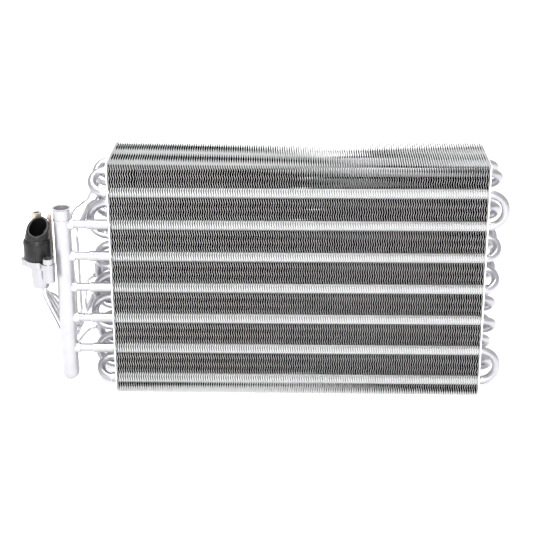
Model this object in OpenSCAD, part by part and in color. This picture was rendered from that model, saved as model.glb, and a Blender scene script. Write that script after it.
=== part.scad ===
// Evaporator core: a block of thin fins on staggered tubes, hairpin bends at the right end,
// return bends, a suction header and a liquid distributor with capillary tubes at the left end.
// X runs along the tubes, Y runs back from the front face, Z is up.
// The origin is the middle of the block's bottom face.

/* [Fin block] */
// Number of fins between the end plates, odd so that one stands over the origin
fin_count = 157; // [41:2:171]
// Distance from one fin to the next
fin_pitch = 2.24; // [1.8:0.01:2.6]
// Share of the fins that is drawn: 1 draws each fin, 3 draws every third one
fin_step = 3; // [1:1:4]
// Thickness of a fin
fin_t = 0.15; // [0.1:0.05:0.4]
// Thickness of an end plate
plate_t = 1.2; // [0.8:0.1:2]
// Height of the block above the first tube of the front row
top_margin = 29.8; // [24:0.1:40]
// Height of the block below the last tube of the front row
bottom_margin = 12.7; // [10:0.1:25]

/* [Tubes] */
// Distance between two tubes of one row
tube_pitch = 31.75; // [28:0.05:36]
// Distance between two rows
row_pitch = 15.875; // [14:0.025:18]
// Outside diameter of a tube
tube_od = 7.94; // [6:0.01:9]
// Wall of a tube
tube_wall = 0.7; // [0.4:0.05:1]
// Straight length between the right end plate and a hairpin's bend
bend_lead = 0.4; // [0.2:0.1:4]

/* [Sockets] */
// Wall of a widened tube end
socket_wall = 0.9; // [0.5:0.05:1.2]
// Gap all round a tube that is brazed into a socket
braze_gap = 0.05; // [0.02:0.01:0.1]
// Length of a socket that holds a return bend
socket_len = 4.2; // [3:0.1:8]
// Length of a socket that holds a header stub
outlet_socket_len = 20.5; // [12:0.5:24]
// Depth that a stub enters its socket
stub_depth = 6; // [3:0.5:10]

/* [Suction header] */
// Distance from the left end plate to the header's axis
header_reach = 44.6; // [42:0.1:60]
// Outside diameter of the header
header_od = 16; // [14:0.1:18]
// Wall of the header
header_wall = 1.2; // [0.8:0.1:2]
// Height of the open mouth above the block's bottom face
header_top = 187.8; // [182:0.2:230]
// Height of the rounded lower end
header_bottom = 11; // [4:0.5:20]
// Bore that the suction pipe slides into at the mouth
mouth_bore = 14.4; // [13.8:0.1:14.8]
// Width of the turned-out rim around the mouth
rim_w = 1.6; // [0.8:0.1:3]
// Height of the turned-out rim
rim_h = 1.4; // [0.8:0.1:3]
// Distance from the mouth to the stop bead
bead_drop = 12.5; // [8:0.5:20]
// Thickness of the bead
bead_h = 1.4; // [0.8:0.1:2.5]
// Length of the pulled collar around each stub
collar_len = 2.6; // [1.5:0.1:4]
// Wall of the pulled collar
collar_wall = 1.5; // [1:0.1:2]

/* [Distributor] */
// Distance from the header's axis to the distributor's axis
distributor_reach = 23.6; // [23:0.1:40]
// Diameter of the distributor's body
distributor_d = 18; // [15:0.5:20]
// Height of the distributor's lower face above the block's bottom face
distributor_base = 108.5; // [90:0.5:120]
// Length of the distributor's body
distributor_h = 22.5; // [16:0.5:30]
// Height of the chamber that feeds the capillary tubes
chamber_h = 5; // [2:0.5:8]
// Diameter of the circle on which the capillary tubes leave
port_circle_d = 11; // [9:0.5:12]
// Diameter of the screw boss beside the body
boss_d = 11.6; // [10:0.2:14]
// Length of the screw boss
boss_h = 12; // [8:0.5:14]
// Width of the web between the body and the boss
web_w = 5.8; // [3:0.2:8]
// Thickness left below the screw's hole
boss_floor = 2; // [1:0.5:4]
// Width of the shoulder below the boss
shoulder_w = 0.5; // [0.3:0.1:0.8]
// Width of the sloped edge around the lower face
nose_w = 0.8; // [0.4:0.1:1]
// Height of that sloped edge
nose_h = 3; // [1:0.5:4]
// Angle over which the capillary tubes leave, on the side that faces the header
port_spread = 160; // [150:1:165]

/* [Flange] */
// Thickness of the clamp flange
flange_t = 6; // [4:0.5:8]
// Radius of the flange around the spigot
flange_r = 13.8; // [12.5:0.1:14]
// Radius of each ear
ear_r = 6.2; // [5.5:0.1:6.5]
// Distance from the axis to the side ear
side_ear_reach = 11.5; // [10:0.5:16]
// Outside diameter of the spigot inside the boot
spigot_d = 18; // [14:0.5:19]
// Height of the spigot
spigot_h = 13; // [8:0.5:18]
// Diameter of the liquid passage down through the flange and the distributor
passage_d = 6; // [4:0.5:7]
// Diameter of the channel drilled across the flange from the inlet pipe to the passage
channel_d = 3; // [2:0.2:4]
// Thickness of the sealing ring between the flange and the distributor
ring_d = 1.8; // [1.2:0.1:2.4]
// Gap between the passage and the sealing ring
ring_gap = 1.2; // [0.8:0.1:2]
// Sideways distance from the axis to the screw
screw_x = 11.1; // [9:0.1:12]
// Gap between the screw's head and the boot
screw_clear = 0.64; // [0.2:0.02:2]
// Diameter of the screw's head
screw_head_d = 10.4; // [9:0.2:11.4]
// Height of the screw's head
screw_head_h = 5.5; // [4:0.5:8]
// Diameter of the screw's shank
screw_d = 5; // [4:0.5:6]
// Width across flats of the key socket
key_w = 5; // [4:0.5:6]
// Gap below the screw's tip
screw_gap = 1; // [0.5:0.5:3]

/* [Boot] */
// Outside diameter of the boot's lower part
boot_d = 26.6; // [24:0.1:27]
// Sideways distance from the distributor's axis to the boot's axis
boot_shift = 1.2; // [0:0.1:2]
// Wall of the boot
boot_wall = 3; // [2:0.1:3.4]
// Height of the boot's lower part
boot_h = 19.5; // [16:0.5:24]
// Height of the leaning hood above the lower part
hood_h = 21; // [16:0.5:26]
// Outside diameter of the hood where it starts
hood_base_d = 24; // [22:0.5:24]
// Outside diameter of the hood at its top
hood_top_d = 19; // [18:0.5:22]
// Sideways lean of the hood's top
hood_lean = 3; // [0:0.2:4]
// Tilt of the hood's open face
hood_tilt = 33; // [20:1:45]
// Height of the open face on the axis, above the lower part
hood_cut = 13.4; // [10:0.2:13.8]

/* [Inlet pipe and clip] */
// Outside diameter of the liquid inlet pipe
inlet_od = 9.7; // [8:0.1:10]
// Bore of the liquid inlet pipe
inlet_bore = 5.2; // [4:0.1:6]
// Height of the inlet pipe above the flange
inlet_h = 39.5; // [34:0.5:46]
// Sideways distance from the distributor's axis to the inlet pipe
inlet_shift = 4; // [2:0.5:8]
// Gap between the inlet pipe and the boot
inlet_clear = 0.56; // [0.2:0.02:2]
// Depth that the inlet pipe enters the flange
inlet_seat = 2.4; // [1:0.1:3]
// Sideways distance from the distributor's axis to the retaining clip
clip_x = 9.4; // [6:0.2:10]
// Width of the retaining clip
clip_w = 3.2; // [2.4:0.2:6]
// Thickness of the clip's sheet
clip_t = 1; // [0.6:0.1:1.6]
// Height of the clip above the flange
clip_h = 39.5; // [34:0.5:44]
// Forward reach of the clip's hook
clip_hook = 6; // [4:0.5:8]
// Length of the clip's turned-down lip
clip_lip = 3.4; // [1.6:0.2:6]

/* [Inlet elbows] */
// Radius of an elbow's bend, at the tube's middle
elbow_r = 9; // [7:0.5:14]
// Length of an elbow's tapered end
taper_len = 18; // [12:0.5:22]
// Step in radius where the tapered end takes over from the bend
collar_step = 0.3; // [0.2:0.05:0.5]
// Half the length of the band at that step
collar_lap = 1; // [0.6:0.1:1.4]
// Outside diameter of the tapered end at its tip
tip_d = 5; // [4.2:0.1:6]
// Depth that a capillary tube enters an elbow or the distributor
cap_seat = 3; // [2:0.5:5]

/* [Capillary tubes] */
// Outside diameter of a capillary tube
cap_od = 3; // [2:0.1:3.2]
// Bore of a capillary tube
cap_bore = 1.4; // [0.6:0.1:1.6]
// Distance between neighbouring capillary tubes in the bundle
cap_gap = 3.8; // [3.5:0.1:4.2]
// Height of the bundle's lowest point above the block's bottom face
loop_z = 53; // [48:1:62]

/* [Hidden] */
$fn = 48;
// A tube's place is [row, number]: rows count from the front, tubes from the top
rows = 5;
row_tubes = 7;
hairpins = [[[1, 1], [1, 2]], [[2, 1], [3, 1]], [[2, 2], [3, 2]], [[1, 3], [2, 3]],
    [[1, 4], [2, 4]], [[1, 5], [2, 6]], [[2, 5], [3, 5]], [[1, 6], [1, 7]],
    [[2, 7], [3, 7]], [[3, 6], [4, 7]], [[3, 3], [4, 3]], [[3, 4], [4, 4]],
    [[4, 1], [5, 1]], [[4, 2], [5, 2]], [[5, 3], [5, 4]], [[4, 5], [5, 5]],
    [[4, 6], [5, 6]]];
returns = [[[1, 1], [2, 1]], [[3, 1], [4, 1]], [[2, 2], [2, 3]], [[3, 2], [4, 2]],
    [[2, 4], [3, 3]], [[4, 3], [5, 3]], [[2, 5], [2, 6]], [[3, 4], [3, 5]],
    [[4, 4], [4, 5]], [[1, 7], [2, 7]], [[3, 6], [3, 7]], [[4, 6], [4, 7]]];
outlets = [[1, 2], [1, 3], [1, 4], [1, 5], [1, 6]];
// Each inlet has its tube, the elbow's straight reach from the end plate and its turn downwards
inlets = [[[5, 1], 8, 57], [[5, 2], 20, 57], [[5, 4], 8, 40], [[5, 5], 20, 57], [[5, 6], 8, 20]];
alu = "gainsboro";
bright = "whitesmoke";
brass = "tan";
rubber = "#222222";
// Amount that a cutting body runs past the face that it opens
over = 1;
// Thickness of the discs that the boot's hood is spanned between
disc_t = 0.1;
// A direction that no capillary tube runs along, which sets the turn of its rings
ring_aim = [0.31, 0.93, 0.21];
block_w = fin_count * fin_pitch + 2 * plate_t;
// Fins that are drawn on each side of the one over the origin
side_fins = floor((fin_count - 1) / 2 / fin_step);
block_h = top_margin + bottom_margin + (row_tubes - 1) * tube_pitch;
block_d = rows * row_pitch;
left_x = -block_w / 2;
right_x = block_w / 2;
tube_r = tube_od / 2;
tube_ri = tube_r - tube_wall;
socket_ri = tube_r + braze_gap;
socket_ro = socket_ri + socket_wall;
header_x = left_x - header_reach;
header_r = header_od / 2;
// Row 1 carries the outlets, so the header and the distributor stand in its plane
front_y = tube_y([1, 1]);
distributor_x = header_x - distributor_reach;
flange_z = distributor_base + distributor_h;
boot_z = flange_z + flange_t;
hood_z = boot_z + boot_h;
// The screw stands in front of the boot and the inlet pipe behind it, each a gap away
screw_y = beside_boot(screw_x + boot_shift, screw_head_d / 2 + screw_clear);
back_ear_reach = beside_boot(inlet_shift - boot_shift, inlet_od / 2 + inlet_clear);
boss_x = distributor_x + screw_x;
boss_y = front_y - screw_y;
boot_x = distributor_x - boot_shift;
inlet_x = distributor_x - inlet_shift;
clip_y = boot_d / 2 + clip_t;
// Length of tube that fits into a socket behind its widening
seat_len = socket_len - (socket_ro - tube_r) - tube_wall - braze_gap;
ring_r = passage_d / 2 + ring_gap + ring_d / 2;
port_count = len(inlets);
port_step = port_spread / (port_count - 1);
cap_r = cap_od / 2;
// Samples along each stretch of a capillary tube, and sides around it
cap_steps = 5;
cap_sides = 8;

// Distance along Y from the boot's axis to a round piece that stands x to its side and clears
// its wall by the given distance from the piece's own axis
function beside_boot(x, clear) = sqrt(pow(boot_d / 2 + clear, 2) - pow(x, 2));
function tube_y(t) = (t[0] - (rows + 1) / 2) * row_pitch;
function tube_z(t) = block_h - top_margin - (t[1] - 1) * tube_pitch
    + (t[0] % 2 == 0 ? tube_pitch / 2 : 0);
function tube_at(t) = [0, tube_y(t), tube_z(t)];
function is_outlet(t) = len([for (o = outlets) if (o == t) 1]) > 0;
function socket_of(t) = is_outlet(t) ? outlet_socket_len : socket_len;
function unit(v) = v / norm(v);
// One point of a smooth curve from b to c, which heads as from a to c at b, and as from b to d at c
function spline(a, b, c, d, u) =
    let (l = norm(c - b), p = l * unit(c - a), q = l * unit(d - b), v = u * u, w = v * u)
    (2 * w - 3 * v + 1) * b + (w - 2 * v + u) * p + (3 * v - 2 * w) * c + (w - v) * q;
function curve(p) = [for (i = [1 : len(p) - 3], s = [0 : cap_steps - 1])
        spline(p[i - 1], p[i], p[i + 1], p[i + 2], s / cap_steps), p[len(p) - 2]];

// A round bar or its bore along X, from x to x + l
module x_bar(r, x, l) translate([x, 0, 0]) rotate([0, 90, 0]) cylinder(r = r, h = l);

// Turns a pair of tubes into its own plane: they lie at +Y and -Y, with the origin midway
module between(pair) {
    first = tube_at(pair[0]);
    step = tube_at(pair[1]) - first;
    translate(first + step / 2)
        rotate([atan2(step[2], step[1]), 0, 0])
            children();
}

function half_gap(pair) = norm(tube_at(pair[1]) - tube_at(pair[0])) / 2;

// Half ring of tube of radius reach, which bulges to +X, or to -X where side is -1
module half_ring(reach, side)
    rotate([0, 0, -90 * side])
        rotate_extrude(angle = 180)
            translate([reach, 0])
                difference() {
                    circle(r = tube_r);
                    circle(r = tube_ri);
                }

// A turned outline at each end of a half ring, running from it along X
module both_legs(reach, side, outlines)
    for (leg = [0, 1])
        translate([0, (2 * leg - 1) * reach, 0])
            rotate([0, -90 * side, 0])
                rotate([0, 0, 90 * (2 * leg - 1)])
                    rotate_extrude()
                        polygon(outlines[leg]);

// Outline of a hairpin's leg from its bend to its widened mouth
function leg_outline(t) =
    let (face = block_w + bend_lead, mouth = face + socket_of(t), step = socket_ro - tube_r)
    [[tube_ri, 0], [tube_r, 0], [tube_r, face], [socket_ro, face + step], [socket_ro, mouth],
        [socket_ri, mouth], [socket_ri, face + step + tube_wall], [tube_ri, face + tube_wall]];

// Outline of a plain length of tube
function pipe_outline(l) = [[tube_ri, 0], [tube_r, 0], [tube_r, l], [tube_ri, l]];

module hairpin(i) color(alu) {
    pair = hairpins[i];
    reach = half_gap(pair);
    between(pair)
        translate([right_x + bend_lead, 0, 0]) {
            half_ring(reach, 1);
            both_legs(reach, 1, [for (t = pair) leg_outline(t)]);
        }
}

module return_bend(i) color(alu) {
    pair = returns[i];
    reach = half_gap(pair);
    between(pair)
        translate([left_x - socket_len - bend_lead, 0, 0]) {
            half_ring(reach, -1);
            both_legs(reach, -1, [for (t = pair) pipe_outline(bend_lead + seat_len)]);
        }
}

module tube_holes(t) {
    for (pair = hairpins, at = pair)
        translate([0, tube_y(at), tube_z(at)])
            x_bar(tube_r, -over, t + 2 * over);
}

module end_plate(x) color(bright)
    translate([x, 0, 0])
        difference() {
            translate([0, -block_d / 2, 0])
                cube([plate_t, block_d, block_h]);
            tube_holes(plate_t);
        }

module fin_outline() difference() {
    translate([0, -block_d / 2])
        square([block_h, block_d]);
    for (pair = hairpins, at = pair)
        translate([tube_z(at), tube_y(at)])
            circle(r = tube_r);
}

// The drawn fins from one number to another, counted from the one over the origin
module fin_pack(first, last) color(alu)
    for (i = [first : last])
        translate([i * fin_step * fin_pitch + fin_t / 2, 0, 0])
            rotate([0, -90, 0])
                linear_extrude(fin_t)
                    fin_outline();

module suction_header() color(bright) {
    ball_z = header_bottom + header_r;
    inner_r = header_r - header_wall;
    difference() {
        translate([header_x, front_y, 0]) {
            translate([0, 0, ball_z])
                cylinder(r = header_r, h = header_top - ball_z);
            translate([0, 0, ball_z])
                sphere(r = header_r);
            translate([0, 0, header_top - rim_h])
                cylinder(r1 = header_r, r2 = header_r + rim_w, h = rim_h);
            translate([0, 0, header_top - bead_drop])
                cylinder(r = header_r + bead_h / 2, h = bead_h);
            for (t = outlets)
                translate([0, 0, tube_z(t)])
                    x_bar(socket_ri + collar_wall, 0, header_r + collar_len);
        }
        translate([header_x, front_y, ball_z])
            cylinder(r = inner_r, h = header_top - ball_z + over);
        translate([header_x, front_y, header_top - bead_drop])
            cylinder(d = mouth_bore, h = bead_drop + over);
        translate([header_x, front_y, ball_z])
            sphere(r = inner_r);
        for (t = outlets)
            translate([header_x, front_y, tube_z(t)])
                x_bar(socket_ri, 0, header_r + collar_len + over);
    }
}

module header_stub(i) color(bright) {
    start = header_x + header_r - header_wall;
    finish = left_x - outlet_socket_len + stub_depth;
    translate([0, front_y, tube_z(outlets[i])])
        difference() {
            x_bar(tube_r, start, finish - start);
            x_bar(tube_ri, start - over, finish - start + 2 * over);
        }
}

function port_angle(i) = ((port_count - 1) / 2 - i) * port_step;
function port_at(i) = [distributor_x + port_circle_d / 2 * cos(port_angle(i)),
    front_y + port_circle_d / 2 * sin(port_angle(i)), distributor_base];

// Plan of the distributor's upper part: its body, the screw boss and the web between them
module distributor_plan() {
    circle(d = distributor_d);
    translate([screw_x, -screw_y])
        circle(d = boss_d);
    rotate(atan2(-screw_y, screw_x))
        translate([0, -web_w / 2])
            square([norm([screw_x, screw_y]), web_w]);
}

module distributor() color(bright) {
    lower_r = distributor_d / 2 - shoulder_w;
    lap = distributor_h - boss_h + over;
    difference() {
        union() {
            translate([distributor_x, front_y, distributor_base])
                rotate_extrude()
                    polygon([[0, 0], [lower_r - nose_w, 0], [lower_r, nose_h], [lower_r, lap],
                            [0, lap]]);
            translate([distributor_x, front_y, flange_z - boss_h])
                linear_extrude(boss_h)
                    distributor_plan();
        }
        translate([distributor_x, front_y, distributor_base + cap_seat]) {
            cylinder(d = port_circle_d + cap_r, h = chamber_h);
            cylinder(d = passage_d, h = distributor_h);
        }
        for (i = [0 : port_count - 1])
            translate(port_at(i) - [0, 0, over])
                cylinder(r = cap_r + braze_gap, h = cap_seat + over);
        translate([boss_x, boss_y, flange_z - boss_h + boss_floor])
            cylinder(d = screw_d, h = boss_h);
    }
}

module ear(x, y, r) {
    reach = norm([x, y]);
    turn = atan2(y, x);
    translate([x, y])
        circle(r = r);
    rotate(turn)
        translate([0, -r])
            square([reach, 2 * r]);
}

// Plan of the flange: a disc with an ear at each fastening
module flange_plan() {
    circle(r = flange_r);
    ear(screw_x, -screw_y, ear_r);
    ear(-side_ear_reach, 0, ear_r);
    ear(-inlet_shift, back_ear_reach, ear_r);
    ear(clip_x, clip_y, clip_w / 2);
}

module clamp_flange() color(bright)
    translate([distributor_x, front_y, flange_z])
        difference() {
            union() {
                linear_extrude(flange_t)
                    flange_plan();
                cylinder(d = spigot_d, h = flange_t + spigot_h);
            }
            translate([0, 0, -over])
                cylinder(d = passage_d, h = flange_t / 2 + over);
            translate([0, 0, flange_t / 2])
                rotate([0, 0, atan2(back_ear_reach, -inlet_shift)])
                    x_bar(channel_d / 2, 0, norm([back_ear_reach, inlet_shift]));
            translate([-inlet_shift, back_ear_reach, flange_t - inlet_seat])
                cylinder(d = inlet_od + 2 * braze_gap, h = inlet_seat + over);
            rotate_extrude()
                translate([ring_r, 0])
                    circle(d = ring_d);
            translate([screw_x, -screw_y, -over])
                cylinder(d = screw_d + 2 * braze_gap, h = flange_t + 2 * over);
        }

module seal_ring() color(rubber)
    translate([distributor_x, front_y, flange_z])
        rotate_extrude()
            translate([ring_r, 0])
                intersection() {
                    circle(d = ring_d);
                    translate([-ring_d, 0])
                        square([2 * ring_d, ring_d]);
                }

module flange_screw() color(brass) {
    shank = flange_t + boss_h - boss_floor - screw_gap;
    translate([boss_x, boss_y, boot_z])
        difference() {
            union() {
                cylinder(d = screw_head_d, h = screw_head_h);
                translate([0, 0, -shank])
                    cylinder(d = screw_d - 2 * braze_gap, h = shank + over);
            }
            translate([0, 0, screw_head_h / 2])
                cylinder(d = key_w / cos(30), h = screw_head_h, $fn = 6);
        }
}

// The hood's form or its hollow, spanned between two thin discs
module hood(grow) hull() {
    translate([0, 0, -disc_t])
        cylinder(d = hood_base_d + 2 * grow, h = disc_t, $fn = 32);
    translate([hood_lean, 0, hood_h])
        cylinder(d = hood_top_d + 2 * grow, h = disc_t, $fn = 32);
}

module rubber_boot() color(rubber)
    translate([boot_x, front_y, boot_z])
        difference() {
            union() {
                cylinder(d = boot_d, h = boot_h);
                translate([0, 0, boot_h])
                    hood(0);
            }
            translate([boot_shift, 0, -over])
                cylinder(d = spigot_d + 2 * braze_gap, h = spigot_h + over);
            translate([0, 0, spigot_h])
                cylinder(d = hood_base_d - 2 * boot_wall + disc_t, h = boot_h - spigot_h + disc_t);
            translate([0, 0, boot_h])
                hood(-boot_wall);
            translate([0, 0, boot_h + hood_cut])
                rotate([hood_tilt, 0, 0])
                    translate([-boot_d, -2 * boot_d, 0])
                        cube([2 * boot_d, 4 * boot_d, boot_d]);
        }

module inlet_pipe() color(brass)
    translate([inlet_x, front_y + back_ear_reach, boot_z - inlet_seat])
        difference() {
            cylinder(d = inlet_od, h = inlet_h + inlet_seat);
            translate([0, 0, -over])
                cylinder(d = inlet_bore, h = inlet_h + inlet_seat + 2 * over);
        }

module retaining_clip() color(brass)
    translate([distributor_x + clip_x - clip_w / 2, front_y + clip_y, boot_z]) {
        cube([clip_w, clip_t, clip_h]);
        translate([0, -clip_hook, clip_h - clip_t])
            cube([clip_w, clip_hook + clip_t, clip_t]);
        translate([0, -clip_hook, clip_h - clip_lip])
            cube([clip_w, clip_t, clip_lip]);
    }

// Where an elbow's taper starts, the way it points, and the taper's tip
function taper_start(i) = tube_at(inlets[i][0])
    + [left_x - inlets[i][1] - elbow_r * sin(inlets[i][2]), 0, -elbow_r * (1 - cos(inlets[i][2]))];
function taper_way(i) = [-cos(inlets[i][2]), 0, -sin(inlets[i][2])];
function taper_tip(i) = taper_start(i) + taper_len * taper_way(i);

// An elbow's outside or its bore: a straight run, a bend of radius r, and a turned taper
module elbow_form(i, r, start, outline) {
    turn = inlets[i][2];
    reach = left_x - inlets[i][1];
    translate(tube_at(inlets[i][0])) {
        x_bar(r, reach, start - reach);
        translate([reach, 0, -elbow_r])
            rotate([90, 0, 0])
                rotate([0, 0, 90])
                    rotate_extrude(angle = turn)
                        translate([elbow_r, 0])
                            circle(r = r);
    }
    translate(taper_start(i))
        rotate([0, -90 - turn, 0])
            rotate_extrude()
                polygon(outline);
}

module inlet_elbow(i) color(bright) {
    entry = left_x - socket_len + seat_len;
    hole = cap_r + braze_gap;
    waist = taper_len - cap_seat;
    wide = tube_r + collar_step;
    narrow = tube_ri - collar_step / 2;
    difference() {
        elbow_form(i, tube_r, entry, [[0, -collar_lap], [wide, -collar_lap], [wide, collar_lap],
                [tip_d / 2, waist], [tip_d / 2, taper_len], [0, taper_len]]);
        elbow_form(i, tube_ri, entry + over, [[0, -collar_lap], [narrow, -collar_lap],
                [narrow, collar_lap], [hole, waist], [hole, taper_len + over],
                [0, taper_len + over]]);
    }
}

// Where each capillary tube rises behind the header: distance left of the end plate, and
// from the last row's plane to the front
lanes = [[44.5, 15.5], [40.5, 11.7], [36.5, 7.9], [39, 1], [38, 4]];
// Distance by which each one's lowest point lies below the first one's
drops = [0, 4, 8, 12, 19];
// Distance from the header's wall to the middle of the nearest capillary tube
bundle_gap = 3;
// Straight lengths of a capillary tube below its port: to where it is free, and to its first bend
port_lap = 1;
port_run = 6;
// Where the bundle turns behind the header: left of the header's axis, in front of the tube's own
// layer, and above the tube's lowest point
turn_in = [13, 6, 36];
// Where it passes behind the header: left of the header's axis, and above the lowest point
pass_in = [6, 15];
// Distance from the header's axis to the lowest point, to the right
low_shift = 1;
// Heights above the lowest point where the rise starts, and where it stands upright
rise_start = 12;
rise_full = 24;
// Distance by which the rise starts in front of its lane
rise_shift = 2;
// Upright length that is worth a straight stretch, and the drop from its end to the tip's level
least_rise = 4;
tip_drop = 20;
// Straight lengths of a capillary tube in front of an elbow's tip, from the outside inwards
tip_run = 9;
tip_lap = 1;

// Route of a capillary tube: down from its port, behind the header, and up to its elbow's tip.
// Its points are chosen by hand, as distances from the pieces that it passes.
// The first and the last point only set the curve's direction at its ends.
function cap_route(i) =
    let (port = port_at(i), tip = taper_tip(i), way = taper_way(i),
        lane = [left_x - lanes[i][0], tube_y([rows, 1]) - lanes[i][1]],
        layer = front_y + header_r + bundle_gap + (port_count - 1 - i) * cap_gap,
        low = loop_z - drops[i], top = tip[2] - tip_drop)
    [port + [0, 0, 2 * cap_seat], port + [0, 0, cap_seat],
        port - [0, 0, port_lap], port - [0, 0, port_run],
        [header_x - turn_in[0], layer - turn_in[1], low + turn_in[2]],
        [header_x - pass_in[0], layer, low + pass_in[1]],
        [header_x + low_shift, (layer + lane[1]) / 2, low],
        if (top > low) [lane[0], lane[1] - rise_shift, low + rise_start],
        if (top > low + rise_full + least_rise) each [[lane[0], lane[1], low + rise_full],
            [lane[0], lane[1], top]],
        tip + tip_run * way, tip + tip_lap * way,
        tip - cap_seat * way, tip - 2 * cap_seat * way];

// Tube along a list of points, open at both ends
module sweep(points) {
    n = len(points);
    rings = [for (r = [cap_r, cap_bore / 2], i = [0 : n - 1])
        let (along = unit(points[min(i + 1, n - 1)] - points[max(i - 1, 0)]),
            side = unit(cross(along, ring_aim)), up = cross(side, along))
        for (s = [0 : cap_sides - 1])
            points[i] + r * (cos(s * 360 / cap_sides) * side + sin(s * 360 / cap_sides) * up)];
    // Each four-cornered patch between two rings is split in two
    function patch(a, b, c, d) = [[a, b, c], [a, c, d]];
    skin = [for (i = [0 : n - 2], s = [0 : cap_sides - 1])
        let (a = i * cap_sides + s, b = i * cap_sides + (s + 1) % cap_sides)
        each patch(a, b, b + cap_sides, a + cap_sides)];
    inner = n * cap_sides;
    lining = [for (f = skin) [f[2] + inner, f[1] + inner, f[0] + inner]];
    ends = [for (e = [0, n - 1], s = [0 : cap_sides - 1])
        let (a = e * cap_sides + s, b = e * cap_sides + (s + 1) % cap_sides)
        each e == 0 ? patch(b, a, a + inner, b + inner) : patch(a, b, b + inner, a + inner)];
    polyhedron(rings, concat(skin, lining, ends));
}

module capillary(i) color(bright)
    sweep(curve(cap_route(i)));

function pad(i) = str(i < 10 ? "0" : "", i);

end_plate(left_x);  // end_plate_left
end_plate(right_x - plate_t);  // end_plate_right
fin_pack(-side_fins, 0);  // fin_pack_left
fin_pack(1, side_fins);  // fin_pack_right
for (i = [1 : len(hairpins)])
    hairpin(i - 1);
for (i = [1 : len(returns)])
    return_bend(i - 1);
suction_header();
for (i = [1 : len(outlets)])
    header_stub(i - 1);
distributor();
clamp_flange();
flange_screw();
rubber_boot();
inlet_pipe();
retaining_clip();
seal_ring();
for (i = [1 : len(inlets)])
    inlet_elbow(i - 1);
for (i = [1 : len(inlets)])
    capillary(i - 1);
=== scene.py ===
import math

import bmesh
import bpy
from mathutils import Euler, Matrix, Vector
from mathutils.geometry import delaunay_2d_cdt


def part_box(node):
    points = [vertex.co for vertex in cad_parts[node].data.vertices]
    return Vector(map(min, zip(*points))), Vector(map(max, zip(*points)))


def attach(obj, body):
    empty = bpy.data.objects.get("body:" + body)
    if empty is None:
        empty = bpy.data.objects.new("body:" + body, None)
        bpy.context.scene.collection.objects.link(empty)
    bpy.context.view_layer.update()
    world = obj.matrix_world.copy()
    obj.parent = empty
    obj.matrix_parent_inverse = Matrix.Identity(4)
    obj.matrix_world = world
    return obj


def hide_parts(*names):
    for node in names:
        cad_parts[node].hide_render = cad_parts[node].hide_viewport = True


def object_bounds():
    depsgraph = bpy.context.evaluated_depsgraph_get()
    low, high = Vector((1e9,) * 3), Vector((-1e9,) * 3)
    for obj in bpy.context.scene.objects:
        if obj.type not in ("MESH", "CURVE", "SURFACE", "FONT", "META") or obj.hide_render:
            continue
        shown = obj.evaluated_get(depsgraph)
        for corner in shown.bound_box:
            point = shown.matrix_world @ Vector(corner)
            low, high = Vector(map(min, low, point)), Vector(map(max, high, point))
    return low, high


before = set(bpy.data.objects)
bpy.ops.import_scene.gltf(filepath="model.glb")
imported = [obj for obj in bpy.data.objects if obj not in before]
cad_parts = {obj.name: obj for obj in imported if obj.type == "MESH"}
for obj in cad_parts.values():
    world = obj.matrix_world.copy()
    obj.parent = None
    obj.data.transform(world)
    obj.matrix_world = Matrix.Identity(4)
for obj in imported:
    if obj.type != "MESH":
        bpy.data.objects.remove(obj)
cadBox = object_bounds()
mm = 0.001
print("loaded the packed core:", len(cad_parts), "nodes")

# Studio: camera, floor, world and lamps
studio = {
    "cameraPlace": (0.0077131, -1.2185041, 0.5902456),
    "cameraTurn": (68.81631, 0.23208, 1.69666),      # degrees about X, Y and Z
    "lens": 90.6766,
    "sensor": 36.0,
    "clip": (0.05, 40.0),
    "white": (1.0, 1.0, 1.0, 1.0),
    "floorSize": 8.0,
    "floorGap": 0.2 * mm,       # room between the floor and the core
    "floorColour": (0.9, 0.9, 0.905, 1.0),
    "floorRoughness": 0.9,
    "floorLift": 0.45,          # what camera and mirror rays get on top of the lit floor
    "skyStrength": 0.3,         # light that the white surroundings give
    # narrow lamps over and before the middle, whose light runs in between the fins, and a weak
    # one at the left
    "lamps": {
        "topStrip": {"place": (0.0, 0.1, 3.0), "width": 0.5, "length": 2.4, "watts": 140.0},
        "frontStrip": {"place": (0.0, -2.9, 1.2), "width": 0.5, "length": 2.0, "watts": 72.0},
        "sideSoftbox": {"place": (-1.6, -1.2, 0.9), "width": 1.0, "length": 1.0, "watts": 2.0},
    },
}


def addNode(tree, kind, inputs=(), **settings):
    # one node, with its inputs given by place or by name, as values or as other nodes' outputs
    made = tree.nodes.new(kind)
    for key, value in settings.items():
        setattr(made, key, value)
    pairs = inputs.items() if isinstance(inputs, dict) else enumerate(inputs)
    for key, value in pairs:
        if isinstance(value, bpy.types.NodeSocket):
            tree.links.new(value, made.inputs[key])
        elif value is not None:
            made.inputs[key].default_value = value
    return made


def addMath(tree, operation, *values):
    return addNode(tree, "ShaderNodeMath", values, operation=operation).outputs[0]


def addSmoothStep(tree, value, limits):
    # 0 up to the first limit, 1 from the second on
    return addNode(tree, "ShaderNodeMapRange", [value, *limits, 0.0, 1.0],
                   interpolation_type="SMOOTHSTEP").outputs[0]


def linkObject(thing):
    bpy.context.scene.collection.objects.link(thing)
    return thing


def makeCamera():
    lensData = bpy.data.cameras.new("studioCamera")
    lensData.lens = studio["lens"]
    lensData.sensor_width = studio["sensor"]
    lensData.clip_start, lensData.clip_end = studio["clip"]
    camera = linkObject(bpy.data.objects.new("studioCamera", lensData))
    camera.location = studio["cameraPlace"]
    camera.rotation_euler = Euler([math.radians(angle) for angle in studio["cameraTurn"]], "XYZ")
    bpy.context.scene.camera = camera


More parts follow.
